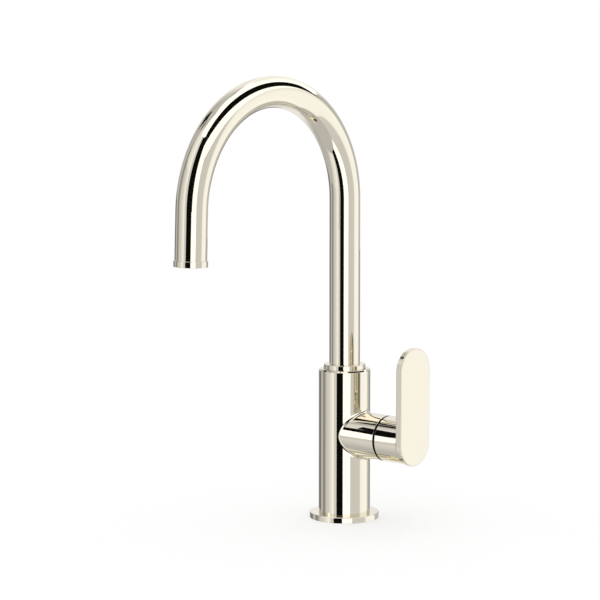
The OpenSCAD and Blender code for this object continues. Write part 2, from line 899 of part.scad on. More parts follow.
module spigot_seals() {
    color(rubber)
        for (side = [-1, 1])
            translate([0, 0, spigot_seals_z + side * spigot_seal_pitch / 2])
                o_ring(spigot_d / 2 - spigot_seal_cord / 2, spigot_seal_cord);
}

module thrust_washer() {
    color(acetal)
        translate([0, 0, block_top_z])
            ring(body_bore_r - seat_fit, spigot_d / 2 + free_gap, thrust_washer_t);
}

module collar_bushing() {
    color(acetal)
        translate([0, 0, bushing_z])
            ring(bushing_r, bushing_r - bushing_t, bushing_h);
}

module lock_screw() {
    tip_y = lock_groove_r + free_gap;
    thread_y = body_bore_r + seat_fit;
    head_y = body_r - free_gap;
    color(steel)
        translate([0, 0, lock_z])
            rotate([-90, 0, 0])
                difference() {
                    union() {
                        translate([0, 0, tip_y])
                            cylinder(d = dog_point_d, h = thread_y - tip_y + over);
                        translate([0, 0, thread_y])
                            cylinder(d = lock_screw_d, h = head_y - thread_y);
                    }
                    translate([0, 0, head_y - lock_socket_af])
                        cylinder(d = lock_socket_af / cos(30), h = lock_socket_af + over, $fn = 6);
                }
}

// ---- Outlet ----

module outlet_ring() {
    color(nickel)
        at_outlet()
            rotate_extrude()
                polygon([
                    [outlet_thread_r, mouth_z],
                    [outlet_ring_r, mouth_z],
                    [outlet_ring_r, ring_top_z],
                    [outlet_sleeve_r, ring_top_z],
                    [outlet_sleeve_r, ring_top_z + outlet_sleeve_len],
                    [outlet_thread_r - outlet_ledge_w, ring_top_z + outlet_sleeve_len],
                    [outlet_thread_r - outlet_ledge_w, ledge_z],
                    [outlet_thread_r, ledge_z]
                ]);
}

module aerator_body() {
    color(acetal)
        at_outlet()
            translate([0, 0, aerator_z])
                difference() {
                    ring(aerator_r, aerator_bore_r, aerator_h);
                    for (a = [0, 90])
                        rotate(a)
                            translate([-aerator_r - over, -aerator_notch_w / 2, -over])
                                cube([2 * (aerator_r + over), aerator_notch_w, aerator_notch_depth + over]);
                    translate([0, 0, aerator_h - screen_t])
                        cylinder(r = screen_r, h = screen_t + over);
                }
}

module aerator_screen() {
    color(steel)
        at_outlet()
            translate([0, 0, screen_z])
                difference() {
                    cylinder(r = screen_r - seat_fit, h = screen_t);
                    for (n = [0:screen_rings])
                        for (a = [0:360 / max(6 * n, 1):359])
                            rotate(a)
                                translate([n * screen_pitch, 0, -over])
                                    cylinder(d = screen_hole_d, h = screen_t + 2 * over, $fn = 24);
                }
}

module aerator_washer() {
    color(rubber)
        at_outlet()
            translate([0, 0, ledge_z - aerator_washer_t])
                ring(outlet_thread_r - seat_fit, screen_r, aerator_washer_t);
}

base_flange();
base_gasket();
body_shell();
valve_block();
threaded_shank();
rubber_washer();
steel_washer();
mounting_nut();
cartridge_housing();
cartridge_base();
port_seals();
fixed_disc();
moving_disc();
disc_carrier();
turret();
turret_seal();
pivot_pin();
lever_stem();
retaining_nut();
dome_cap();
handle_hub();
lever_plate();
grip_screw();
grip_screw_plug();
spout_tube();
spout_collar();
spout_nipple();
spigot_seals();
thrust_washer();
collar_bushing();
lock_screw();
outlet_ring();
aerator_body();
aerator_screen();
aerator_washer();
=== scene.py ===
import json
import math

import bpy
import numpy as np
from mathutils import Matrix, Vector


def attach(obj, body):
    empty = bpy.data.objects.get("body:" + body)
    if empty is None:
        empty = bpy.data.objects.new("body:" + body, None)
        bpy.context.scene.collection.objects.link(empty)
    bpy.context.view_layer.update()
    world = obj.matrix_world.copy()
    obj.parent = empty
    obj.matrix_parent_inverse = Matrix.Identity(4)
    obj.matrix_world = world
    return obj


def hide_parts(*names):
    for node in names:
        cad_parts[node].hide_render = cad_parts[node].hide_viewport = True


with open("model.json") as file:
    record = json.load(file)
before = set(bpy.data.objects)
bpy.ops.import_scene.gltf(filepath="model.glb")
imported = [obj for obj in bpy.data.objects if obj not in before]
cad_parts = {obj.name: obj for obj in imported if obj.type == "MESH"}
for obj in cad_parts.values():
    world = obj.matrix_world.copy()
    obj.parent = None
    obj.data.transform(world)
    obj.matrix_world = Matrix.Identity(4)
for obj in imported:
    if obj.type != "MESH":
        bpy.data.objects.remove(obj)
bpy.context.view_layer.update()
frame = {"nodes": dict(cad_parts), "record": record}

MM = 0.001
X, Y, Z = np.eye(3)

# Sizes of the faucet, in millimetres, as in its solids
TUBE_R, TUBE_BORE_R = 12.5, 11.3
BEND_R, BEND_Z, BEND_SHORT, DROP = 89.8, 261.8, 2.1, 42.8
BODY_R, BODY_BORE_R, BODY_FOOT, BODY_TOP = 21.0, 17.3, 3.8, 123.4
BODY_CHAMFER, BLOCK_Z, SHANK_HOLE_R = 1.2, 30.0, 15.05
FLANGE_R, FLANGE_H, FLANGE_HOLE_R = 28.3, 4.8, 15.3
GASKET_OUT_R, GASKET_IN_R, GASKET_T = 24.8, 19.8, 1.5
BOSS_R, BOSS_BORE_R, BOSS_Z, FILLET_R = 18.45, 14.5, 70.6, 3.5
PIVOT_X, BALL_R, CAVITY_R, TILT = 35.5, 20.6, 21.35, 11.0
DOME_R, DOME_WALL, DOME_OPENING_R, DOME_FOOT_X = 14.45, 1.8, 9.0, 35.7
PLATE_X, PLATE_T, PLATE_TOP, PLATE_FOOT, SPIGOT_R, SPIGOT_LEN = 68.8, 5.4, 146.6, 0.8, 8.0, 2.5
STEM_W, STEM_LEN, GRIP_X, PLUG_HOLE_R = 7.1, 27.3, 24.45, 3.3
COLLAR_R, COLLAR_FOOT, COLLAR_TOP = 16.85, 105.6, 127.2
GROOVE_R, GROOVE_LOW, GROOVE_HIGH = 15.85, 114.35, 120.45
LOCK_Z, LOCK_R = 102.1, 2.05
RING_R, RING_H, SLEEVE_R, THREAD_R, LEDGE_R, SLEEVE_LEN = 13.25, 5.0, 11.25, 10.0, 8.4, 9.0
AERATOR_RECESS, AERATOR_H, AERATOR_WASHER_T = 0.8, 7.0, 1.2
LEDGE_Z = -DROP + AERATOR_RECESS + AERATOR_H + AERATOR_WASHER_T
SEAT_FIT = 0.05
# The painted shade in the ball joint's seam: its radii about the pivot, its width and its start
SEAM_IN_R, SEAM_OUT_R, SEAM_W, SEAM_SKIN, SEAM_X = 20.2, 21.6, 2.2, 0.08, PIVOT_X + 6


# ---- Surfaces ----

class Place:
    """An axis to turn shapes about; turns are in degrees from start."""

    def __init__(self, origin, axis, start):
        self.origin, self.axis, self.start = (np.asarray(v, float) for v in (origin, axis, start))
        self.side = np.cross(self.axis, self.start)

    def out(self, turns):
        a = np.radians(turns)[..., None]
        return np.cos(a) * self.start + np.sin(a) * self.side

    def at(self, r, turns, h):
        """Points at a distance r from the axis and a height h along it."""
        r, h = (np.asarray(v, float)[..., None] for v in (r, h))
        return self.origin + h * self.axis + r * self.out(turns)

    def tip(self, around, along, turns):
        """A direction made of its part away from the axis and its part along it."""
        around, along = (np.asarray(v, float)[..., None] for v in (around, along))
        return around * self.out(turns) + along * self.axis


COLUMN = Place((0, 0, 0), Z, X)
BOSS = Place((0, 0, BOSS_Z), X, Y)
PLATE = Place((PLATE_X, 0, BOSS_Z), X, Y)
lean = math.radians(BEND_SHORT)
DOWN = np.array((0, -math.sin(lean), -math.cos(lean)))
LEG_TOP = np.array((0, -BEND_R * (1 + math.cos(lean)), BEND_Z + BEND_R * math.sin(lean)))
OUTLET = Place(LEG_TOP, -DOWN, X)


class Skin:
    """Patches of a surface in millimetres, each with its true normals, closed into one mesh."""

    def __init__(self):
        self.points, self.normals, self.faces, self.count = [], [], [], 0

    def patch(self, points, normals, keep=None):
        points = np.asarray(points, float)
        normals = np.broadcast_to(normals, points.shape)
        rows, columns = points.shape[:2]
        index = np.arange(rows * columns).reshape(rows, columns) + self.count
        quads = np.stack([index[:-1, :-1], index[1:, :-1], index[1:, 1:], index[:-1, 1:]], -1)
        self.faces.append(quads.reshape(-1, 4) if keep is None else quads[keep])
        self.points.append(points.reshape(-1, 3))
        self.normals.append(normals.reshape(-1, 3))
        self.count += rows * columns

    def mesh(self, name):
        points, normals = np.concatenate(self.points), np.concatenate(self.normals)
        quads = np.concatenate(self.faces)
        _, first, same = np.unique(np.round(points * 1e4).astype(np.int64), axis=0,
                                   return_index=True, return_inverse=True)
        same = same.reshape(-1)
        a, b, c, d = (points[quads[:, k]] for k in range(4))
        across = np.cross(c - a, d - b)
        turned = np.einsum("ij,ij->i", across, normals[quads].sum(1)) < 0
        quads[turned] = quads[turned, ::-1]
        faces, bends = [], []
        for quad in quads:
            corners = [c for k, c in enumerate(quad) if same[c] != same[quad[k - 1]]]
            if len(corners) > 2:
                faces.append([int(same[c]) for c in corners])
                bends.extend(normals[c] for c in corners)
        made = bpy.data.meshes.new(name)
        made.from_pydata(points[first] * MM, [], faces)
        made.shade_smooth()
        made.normals_split_custom_set(bends)
        open_edges = sum(1 for n in edge_uses(faces).values() if n != 2)
        if open_edges:
            print(name, "has", open_edges, "open edges")
        return made


def edge_uses(faces):
    uses = {}
    for face in faces:
        for k, v in enumerate(face):
            edge = (min(v, face[k - 1]), max(v, face[k - 1]))
            uses[edge] = uses.get(edge, 0) + 1
    return uses


ROUND_STEPS = 7                                 # the faces across a rounded corner


def runs(corners, closed=False):
    """A profile's smooth runs of (r, h, normal r, normal h); the metal lies on the left of its way.
    Corners are (r, h) where they are sharp, and (r, h, radius) where they are rounded."""
    spots = [(np.array(c[:2], float), c[2] if len(c) > 2 else 0.0) for c in corners]
    if closed:
        spots = spots + spots[:1]
    made, run = [], []
    for k, (here, radius) in enumerate(spots):
        before = spots[k - 1][0] if k else (spots[-2][0] if closed else None)
        after = spots[k + 1][0] if k + 1 < len(spots) else (spots[1][0] if closed else None)
        ways = [None if a is None or b is None else (b - a) / np.linalg.norm(b - a)
                for a, b in ((before, here), (here, after))]
        n_in, n_out = (None if w is None else np.array((w[1], -w[0])) for w in ways)
        if radius and n_in is not None and n_out is not None:
            turn = math.atan2(n_in[0] * n_out[1] - n_in[1] * n_out[0], n_in @ n_out)
            back = radius * math.tan(abs(turn) / 2)
            centre = here - ways[0] * back - math.copysign(radius, turn) * n_in
            for s in np.linspace(0, 1, ROUND_STEPS + 1):
                c, d = math.cos(turn * s), math.sin(turn * s)
                n = np.array((c * n_in[0] - d * n_in[1], d * n_in[0] + c * n_in[1]))
                run.append((*(centre + math.copysign(radius, turn) * n), *n))
        else:
            if n_in is not None and (k or not closed):
                run.append((*here, *n_in))
            if n_out is not None:
                if run:
                    made.append(run)
                run = [(*here, *n_out)] if k + 1 < len(spots) else []
    if run:
        made.append(run)
    return [np.array(r) for r in made if len(r) > 1]


def places(*stretches):
    """Places along stretches that follow each other, each given by its start, its end and its count."""
    return np.unique(np.concatenate([np.linspace(*stretch) for stretch in stretches]))


ALL_ROUND = np.linspace(0, 360, 129)


def turned(skin, place, corners, closed=False, turns=ALL_ROUND, lift=0):
    """Turns a profile about the place's axis."""
    for run in runs(corners, closed):
        r, h, nr, nh = (c[:, None] for c in run.T)
        skin.patch(place.at(r, turns, h) + lift, place.tip(nr, nh, turns))


def arc_run(skin, place, centre_h, radius, low, high, out=1, turns=ALL_ROUND, steps=12, centre_r=0):
    """A round band about the place's axis, from one angle off the axis to another: part of a ball, or of a
    ring where its centre stands off the axis."""
    a = np.radians(np.linspace(low, high, steps + 1))[:, None]
    skin.patch(place.at(centre_r + radius * np.sin(a), turns, centre_h + radius * np.cos(a)),
               out * place.tip(np.sin(a), np.cos(a), turns))


def pierced(skin, place, r, turns, heights, openings, out=1, rings=6):
    """A round wall with openings. Each opening has its turns, its heights and its edge as a function of the
    angle round it; the edges' points and angles come back."""
    turns, heights = np.asarray(turns, float), np.asarray(heights, float)
    keep = np.ones((len(turns) - 1, len(heights) - 1), bool)
    edges = []
    for (t0, t1), (h0, h1), edge in openings:
        i0, i1 = (int(np.argmin(abs(turns - t))) for t in (t0, t1))
        j0, j1 = (int(np.argmin(abs(heights - h))) for h in (h0, h1))
        keep[i0:i1, j0:j1] = False
        border = np.array([(turns[i], heights[j0]) for i in range(i0, i1)]
                          + [(turns[i1], heights[j]) for j in range(j0, j1)]
                          + [(turns[i], heights[j1]) for i in range(i1, i0, -1)]
                          + [(turns[i0], heights[j]) for j in range(j1, j0 - 1, -1)])
        middle, half = np.array((t0 + t1, h0 + h1)) / 2, np.array((t1 - t0, h1 - h0)) / 2
        angles = np.arctan2(*((border - middle) / half).T[::-1])
        angles[-1] = angles[0]
        rim = np.stack(edge(angles), -1)
        s = (np.linspace(0, 1, rings + 1) ** 1.3)[:, None, None]
        t, h = np.moveaxis((1 - s) * rim + s * border, -1, 0)
        skin.patch(place.at(r + 0 * t, t, h), out * place.out(t))
        edges.append((place.at(r + 0 * rim[:, 0], rim[:, 0], rim[:, 1]), angles))
    t, h = np.meshgrid(turns, heights, indexing="ij")
    skin.patch(place.at(r + 0 * t, t, h), out * place.out(t), keep)
    return edges


def between(skin, start, end, normals, steps=1):
    """A straight wall from one edge to another."""
    s = np.linspace(0, 1, steps + 1)[:, None, None]
    skin.patch((1 - s) * start + s * end, normals)


def piece(name, skin, body, material, slot, *nodes):
    made = bpy.data.objects.new(name, skin.mesh(name))
    bpy.context.scene.collection.objects.link(made)
    made.data.materials.append(material)
    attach(made, body)
    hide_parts(*nodes)
    return made


# ---- Materials ----

class Wire:
    """A node's output that takes part in sums."""

    def __init__(self, tree, socket):
        self.tree, self.socket = tree, socket

    def sum(self, operation, *others):
        return self.tree.node("ShaderNodeMath", {"operation": operation}, *others)

    def __add__(self, other):
        return self.sum("ADD", self, other)

    def __radd__(self, other):
        return self.sum("ADD", other, self)

    def __sub__(self, other):
        return self.sum("SUBTRACT", self, other)

    def __rsub__(self, other):
        return self.sum("SUBTRACT", other, self)

    def __mul__(self, other):
        return self.sum("MULTIPLY", self, other)

    def __rmul__(self, other):
        return self.sum("MULTIPLY", other, self)

    def __pow__(self, other):
        return self.sum("POWER", self, other)

    def over(self, other):
        """1 where this is the greater, and 0 elsewhere."""
        return self.sum("GREATER_THAN", self, other)


class Tree:
    """A material's or the world's nodes."""

    def __init__(self, owner):
        owner.use_nodes = True
        self.nodes, self.links = owner.node_tree.nodes, owner.node_tree.links
        self.nodes.clear()

    def node(self, kind, settings=None, *values, out=0, **named):
        made = self.nodes.new(kind)
        for key, value in (settings or {}).items():
            if key == "stops":
                ramp = made.color_ramp.elements
                while len(ramp) < len(value):
                    ramp.new(1)
                for stop, (place, colour) in zip(ramp, value):
                    stop.position = place
                    stop.color = (*colour, 1) if hasattr(colour, "__len__") else (colour, colour, colour, 1)
            else:
                setattr(made, key, value)
        for key, value in [*enumerate(values), *named.items()]:
            socket = made.inputs[key if isinstance(key, int) else key.replace("_", " ")]
            if isinstance(value, Wire):
                self.links.new(value.socket, socket)
            else:
                socket.default_value = value
        return Wire(self, made.outputs[out])

    def ramp(self, factor, *stops):
        return self.node("ShaderNodeValToRGB", {"stops": stops}, factor)

    def blend(self, factor, first, second):
        made = self.node("ShaderNodeMix", {"data_type": "RGBA"}, factor, out=2)
        node = made.socket.node
        for socket, value in ((node.inputs[6], first), (node.inputs[7], second)):
            if isinstance(value, Wire):
                self.links.new(value.socket, socket)
            else:
                socket.default_value = (*value, 1)
        return made

    def place(self, scale=(1, 1, 1), turn=(0, 0, 0), shift=(0, 0, 0)):
        spot = self.node("ShaderNodeTexCoord", out=3)
        return self.node("ShaderNodeMapping", None, spot, Location=shift, Rotation=turn, Scale=scale)

    def noise(self, scale, detail=2, roughness=0.5, where=None):
        return self.node("ShaderNodeTexNoise", None, Vector=where or self.place(), Scale=scale, Detail=detail,
                         Roughness=roughness)

    def end(self, shader, kind="ShaderNodeOutputMaterial"):
        self.links.new(shader.socket, self.nodes.new(kind).inputs["Surface"])


def finish_of(name):
    made = bpy.data.materials.new(name)
    return made, Tree(made)


def polished_nickel():
    """Warm mirror plate with faint polishing swirls and a little haze, and painted shade in the ball joint's
    seam: near black and rough there.
    """
    made, t = finish_of("polished_nickel")
    spot = t.node("ShaderNodeTexCoord", out=3)
    x, y, z = (t.node("ShaderNodeSeparateXYZ", None, spot, out=k) for k in range(3))
    away = (y ** 2 + (z - BOSS_Z * MM) ** 2) ** 0.5
    reach = (away ** 2 + (x - PIVOT_X * MM) ** 2) ** 0.5
    # Painted shade: the metal in the ball joint's seam, on the boss's ball end and the hub's seat near their
    # rims, is made near black where shade falls in the gap
    seam_shade = ((reach.over(SEAM_IN_R * MM) - reach.over(SEAM_OUT_R * MM)) * x.over(SEAM_X * MM)
            * (away.over((BOSS_R - SEAM_W) * MM) - away.over((BOSS_R - SEAM_SKIN) * MM)))
    haze = t.noise(18, 3)
    swirl = t.noise(500, 2, where=t.place(scale=(1, 1, 0.12)))
    tone = t.blend(t.noise(9, 2), (0.85, 0.8, 0.678), (0.875, 0.824, 0.7))
    # Painted shade in the seam: near black there
    tone = t.blend(seam_shade, tone, (0.02, 0.019, 0.018))
    rough = 0.008 + 0.012 * haze + 0.008 * swirl ** 3 + 0.4 * seam_shade
    t.end(t.node("ShaderNodeBsdfPrincipled", None, Base_Color=tone, Metallic=1.0, Roughness=rough))
    return made


def raw_brass():
    """Turned brass with fine tool rings and a little tarnish."""
    made, t = finish_of("raw_brass")
    rings = t.noise(1500, 2, where=t.place(scale=(0.05, 0.05, 1)))
    tarnish = t.noise(60, 4)
    tone = t.blend(t.ramp(tarnish, (0.35, 0.0), (0.75, 1.0)), (0.74, 0.55, 0.25), (0.6, 0.42, 0.19))
    bump = t.node("ShaderNodeBump", None, Height=rings, Strength=0.25, Distance=0.00004)
    t.end(t.node("ShaderNodeBsdfPrincipled", None, Base_Color=tone, Metallic=1.0,
                 Roughness=0.26 + 0.14 * tarnish, Normal=bump))
    return made


def black_rubber():
    """Matt moulded rubber with a fine pebbled skin and a dusty bloom."""
    made, t = finish_of("black_rubber")
    pebble, bloom = t.noise(1800, 2), t.noise(70, 4)
    tone = t.blend(t.ramp(bloom, (0.45, 0.0), (0.8, 1.0)), (0.018, 0.018, 0.019), (0.06, 0.058, 0.055))
    bump = t.node("ShaderNodeBump", None, Height=pebble, Strength=0.4, Distance=0.0001)
    t.end(t.node("ShaderNodeBsdfPrincipled", None, Base_Color=tone, Roughness=0.62 + 0.2 * bloom,
                 Normal=bump))
    return made


def white_acetal():
    """Moulded plastic with a satin skin and faint flow marks."""
    made, t = finish_of("white_acetal")
    flow = t.noise(90, 3, where=t.place(scale=(1, 1, 3)))
    grain = t.noise(1400, 2)
    tone = t.blend(flow, (0.78, 0.79, 0.79), (0.86, 0.86, 0.84))
    bump = t.node("ShaderNodeBump", None, Height=grain, Strength=0.15, Distance=0.00005)
    t.end(t.node("ShaderNodeBsdfPrincipled", None, Base_Color=tone, Roughness=0.34 + 0.12 * flow,
                 Normal=bump))
    return made


def white_ceramic():
    """Lapped alumina, nearly a mirror, with fine dark grains."""
    made, t = finish_of("white_ceramic")
    grains = t.ramp(t.noise(2600, 1), (0.66, 0.0), (0.74, 1.0))
    tone = t.blend(grains, (0.9, 0.89, 0.85), (0.72, 0.7, 0.66))
    t.end(t.node("ShaderNodeBsdfPrincipled", None, Base_Color=tone, Roughness=0.1 + 0.08 * t.noise(200, 2)))
    return made


def stainless_steel():
    """Bright drawn steel with fine lines."""
    made, t = finish_of("stainless_steel")
    lines = t.noise(2200, 2, where=t.place(scale=(0.08, 1, 1)))
    tone = t.blend(lines, (0.56, 0.56, 0.57), (0.68, 0.68, 0.68))
    t.end(t.node("ShaderNodeBsdfPrincipled", None, Base_Color=tone, Metallic=1.0,
                 Roughness=0.2 + 0.16 * lines))
    return made


FINISHES = {f.__name__: f() for f in (polished_nickel, raw_brass, black_rubber, white_acetal, white_ceramic,
                                      stainless_steel)}
NICKEL = FINISHES["polished_nickel"]
for entry in frame["record"]["subparts"]:
    for slot in frame["nodes"][entry["node"]].material_slots:
        slot.material = FINISHES[entry["material_slot"]]


# ---- Pieces ----

def base_flange():
    skin = Skin()
    seat_r = BODY_R + SEAT_FIT
    turned(skin, COLUMN, [
        (FLANGE_HOLE_R, 0), (GASKET_IN_R, 0), (GASKET_IN_R, GASKET_T), (GASKET_OUT_R, GASKET_T),
        (GASKET_OUT_R, 0), (FLANGE_R, 0, 0.25), (FLANGE_R, FLANGE_H, 0.8), (seat_r, FLANGE_H, 0.15),
        (seat_r, BODY_FOOT), (FLANGE_HOLE_R, BODY_FOOT)], closed=True)
    piece("base_flange_turned", skin, "column", NICKEL, "polished_nickel", "base_flange")


def body_shell():
    """The column with its side boss, joined by a hollow fillet."""
    skin = Skin()
    boss_side, lock_side = (-75, 75), (80, 100)
    boss_out, boss_in = ((BOSS_Z - span, BOSS_Z + span) for span in (23.5, 18))
    lock = (LOCK_Z - 3.5, LOCK_Z + 3.5)
    turns = places((*boss_side, 61), (75, 80, 3), (*lock_side, 9), (100, 285, 75))
    ball, near = BOSS_R + FILLET_R, BODY_R + FILLET_R

    def foot_of_fillet(angles):
        y = ball * np.cos(angles)
        return np.degrees(np.arctan2(y, np.sqrt(near ** 2 - y ** 2))), BOSS_Z + ball * np.sin(angles)

    def boss_bore(angles):
        y = BOSS_BORE_R * np.cos(angles)
        return np.degrees(np.arcsin(y / BODY_BORE_R)), BOSS_Z + BOSS_BORE_R * np.sin(angles)

    def lock_hole(r):
        def edge(angles):
            return 90 + np.degrees(np.arcsin(LOCK_R * np.cos(angles) / r)), LOCK_Z + LOCK_R * np.sin(angles)
        return edge

    top, foot = BODY_TOP - BODY_CHAMFER - 0.6, BODY_FOOT + 0.5
    outer = places((foot, boss_out[0], 12), (*boss_out, 21), (*lock, 7), (lock[1], top, 6))
    (fillet_foot, angles), (lock_out, _) = pierced(skin, COLUMN, BODY_R, turns, outer, [
        (boss_side, boss_out, foot_of_fillet), (lock_side, lock, lock_hole(BODY_R))])
    inner = places((BLOCK_Z, boss_in[0], 5), (*boss_in, 21), (*lock, 7), (lock[1], BODY_TOP - 0.5, 4))
    (bore_foot, bore_angles), (lock_in, lock_angles) = pierced(skin, COLUMN, BODY_BORE_R, turns, inner, [
        (boss_side, boss_in, boss_bore), (lock_side, lock, lock_hole(BODY_BORE_R))], out=-1)
    inward = np.stack([np.cos(lock_angles), 0 * lock_angles, -np.sin(lock_angles)], -1)
    between(skin, lock_out, lock_in, inward)

    turned(skin, COLUMN, [(BODY_R, top), (BODY_R, BODY_TOP - BODY_CHAMFER, 0.5),
                          (BODY_R - BODY_CHAMFER, BODY_TOP, 0.4), (BODY_BORE_R, BODY_TOP, 0.2),
                          (BODY_BORE_R, BODY_TOP - 0.5)], turns=turns)
    turned(skin, COLUMN, [(BODY_BORE_R, BLOCK_Z), (SHANK_HOLE_R, BLOCK_Z), (SHANK_HOLE_R, BODY_FOOT),
                          (BODY_R, BODY_FOOT, 0.3), (BODY_R, foot)], turns=turns)

    # The fillet, rolled by a ball that touches both the column and the boss
    y, z = ball * np.cos(angles), ball * np.sin(angles)
    centre = np.stack([np.sqrt(near ** 2 - y ** 2), y, BOSS_Z + z], -1)
    boss_edge = centre - FILLET_R * BOSS.out(np.degrees(angles))
    first, last = fillet_foot - centre, boss_edge - centre
    bend = np.arccos(np.clip((first * last).sum(-1) / FILLET_R ** 2, -1, 1))[:, None]
    sweep = np.array([(np.sin((1 - s) * bend) * first + np.sin(s * bend) * last) / np.sin(bend)
                      for s in np.linspace(0, 1, 10)])
    skin.patch(centre + sweep, -sweep / FILLET_R)

    # The boss, its rim and its ball-shaped end
    turn = np.degrees(angles)
    edge_r = 0.35
    rim_x = math.sqrt((BALL_R - edge_r) ** 2 - (BOSS_R - edge_r) ** 2)
    rim_angle = math.degrees(math.atan2(BOSS_R - edge_r, rim_x))
    between(skin, boss_edge, BOSS.at(BOSS_R, turn, PIVOT_X + rim_x), BOSS.out(turn), steps=3)
    arc_run(skin, BOSS, PIVOT_X + rim_x, edge_r, 90, rim_angle, turns=turn, steps=6, centre_r=BOSS_R - edge_r)
    mouth_angle = math.degrees(math.asin(BOSS_BORE_R / BALL_R))
    arc_run(skin, BOSS, PIVOT_X, BALL_R, rim_angle, mouth_angle, turns=turn)
    mouth = BOSS.at(BOSS_BORE_R, turn, PIVOT_X + math.sqrt(BALL_R ** 2 - BOSS_BORE_R ** 2))
    bore_turn = np.degrees(bore_angles)
    between(skin, mouth, bore_foot, -BOSS.out(bore_turn), steps=3)
    piece("column_body", skin, "column", NICKEL, "polished_nickel", "body_shell")


def dome_cap():
    """The ball-shaped cap inside the boss's end."""
    skin = Skin()
    cavity_r, wall_r = BOSS_BORE_R - DOME_WALL, BALL_R - DOME_WALL

    def angle(r, ball):
        return math.degrees(math.asin(r / ball))

    def reach(r, ball):
        return PIVOT_X + math.sqrt(ball ** 2 - r ** 2)

    arc_run(skin, BOSS, PIVOT_X, BALL_R, angle(DOME_R, BALL_R), angle(DOME_OPENING_R, BALL_R))
    turned(skin, BOSS, [(DOME_OPENING_R, reach(DOME_OPENING_R, BALL_R)),
                        (DOME_OPENING_R, reach(DOME_OPENING_R, wall_r))])
    arc_run(skin, BOSS, PIVOT_X, wall_r, angle(DOME_OPENING_R, wall_r), angle(cavity_r, wall_r), out=-1)
    turned(skin, BOSS, [(cavity_r, reach(cavity_r, wall_r)), (cavity_r, DOME_FOOT_X), (DOME_R, DOME_FOOT_X),
                        (DOME_R, reach(DOME_R, BALL_R))])
    piece("dome_cap_turned", skin, "column", NICKEL, "polished_nickel", "dome_cap")


def handle_hub():
    """The hub, with its hollow ball seat, its square socket and the set screw's hole underneath."""
    skin = Skin()
    tilt = math.radians(TILT)
    along, up = np.array((math.cos(tilt), 0, math.sin(tilt))), np.array((-math.sin(tilt), 0, math.cos(tilt)))
    pivot = np.array((PIVOT_X, 0, BOSS_Z))
    plug_side = (256, 284)
    turns = places((-76, plug_side[0], 125), (*plug_side, 13))
    edge_r = 0.22
    rim_x = math.sqrt((CAVITY_R + edge_r) ** 2 - (BOSS_R - edge_r) ** 2)
    rim_angle = math.degrees(math.atan2(BOSS_R - edge_r, rim_x))
    exit_x = PIVOT_X + GRIP_X * along[0] + (BOSS_R + GRIP_X * along[2]) / up[2] * math.sin(tilt)

    def plug_hole(angles):
        y = PLUG_HOLE_R * np.cos(angles)
        reach = GRIP_X + PLUG_HOLE_R * np.sin(angles)
        drop = (-np.sqrt(BOSS_R ** 2 - y ** 2) - reach * along[2]) / up[2]
        return 270 + np.degrees(np.arcsin(y / BOSS_R)), PIVOT_X + reach * along[0] + drop * up[0]

    low, high = exit_x - 4.3, exit_x + 4.3
    heights = places((PIVOT_X + rim_x, low, 5), (low, high, 11), (PLATE_X, PLATE_X, 1))
    ((hole_rim, angles),) = pierced(skin, BOSS, BOSS_R, turns, heights, [(plug_side, (low, high), plug_hole)])
    depth = PLUG_HOLE_R * np.stack([np.sin(angles), np.cos(angles)], -1)
    floor_z = -(BOSS_R + GRIP_X * math.sin(tilt) - 3)
    floor_rim = pivot + (GRIP_X + depth[:, :1]) * along + depth[:, 1:] * Y + floor_z * up
    into = -(np.sin(angles)[:, None] * along + np.cos(angles)[:, None] * Y)
    between(skin, hole_rim, floor_rim, into)
    between(skin, floor_rim, np.broadcast_to(pivot + GRIP_X * along + floor_z * up, floor_rim.shape), -up)

    arc_run(skin, BOSS, PIVOT_X + rim_x, edge_r, 90, 180 + rim_angle, turns=turns, centre_r=BOSS_R - edge_r)
    # The ball seat, from its rim to the square socket's mouth
    t = np.radians(turns)
    square = STEM_W / 2 / np.maximum(abs(np.cos(t)), abs(np.sin(t)))
    v, w = square * np.cos(t), square * np.sin(t)
    mouth = np.sqrt(CAVITY_R ** 2 - v ** 2 - w ** 2)[:, None] * along + v[:, None] * Y + w[:, None] * up
    rim = BOSS.tip(CAVITY_R * math.sin(math.radians(rim_angle)), CAVITY_R * math.cos(math.radians(rim_angle)),
                   turns)
    s = np.linspace(0, 1, 9)[:, None, None]
    seat = (1 - s) * rim + s * mouth
    seat /= np.linalg.norm(seat, axis=-1, keepdims=True)
    skin.patch(pivot + CAVITY_R * seat, -seat)
    end = STEM_LEN * along + v[:, None] * Y + w[:, None] * up
    wall = np.where((abs(v) >= abs(w))[:, None], -np.sign(v)[:, None] * Y, -np.sign(w)[:, None] * up)
    between(skin, pivot + mouth, pivot + end, wall)
    between(skin, pivot + end, np.broadcast_to(pivot + STEM_LEN * along, end.shape), -along)
    turned(skin, BOSS, [(BOSS_R, PLATE_X), (SPIGOT_R, PLATE_X), (SPIGOT_R, PLATE_X + SPIGOT_LEN, 0.3),
                        (0, PLATE_X + SPIGOT_LEN)], turns=turns)
    piece("handle_hub_turned", skin, "lever", NICKEL, "polished_nickel", "handle_hub")


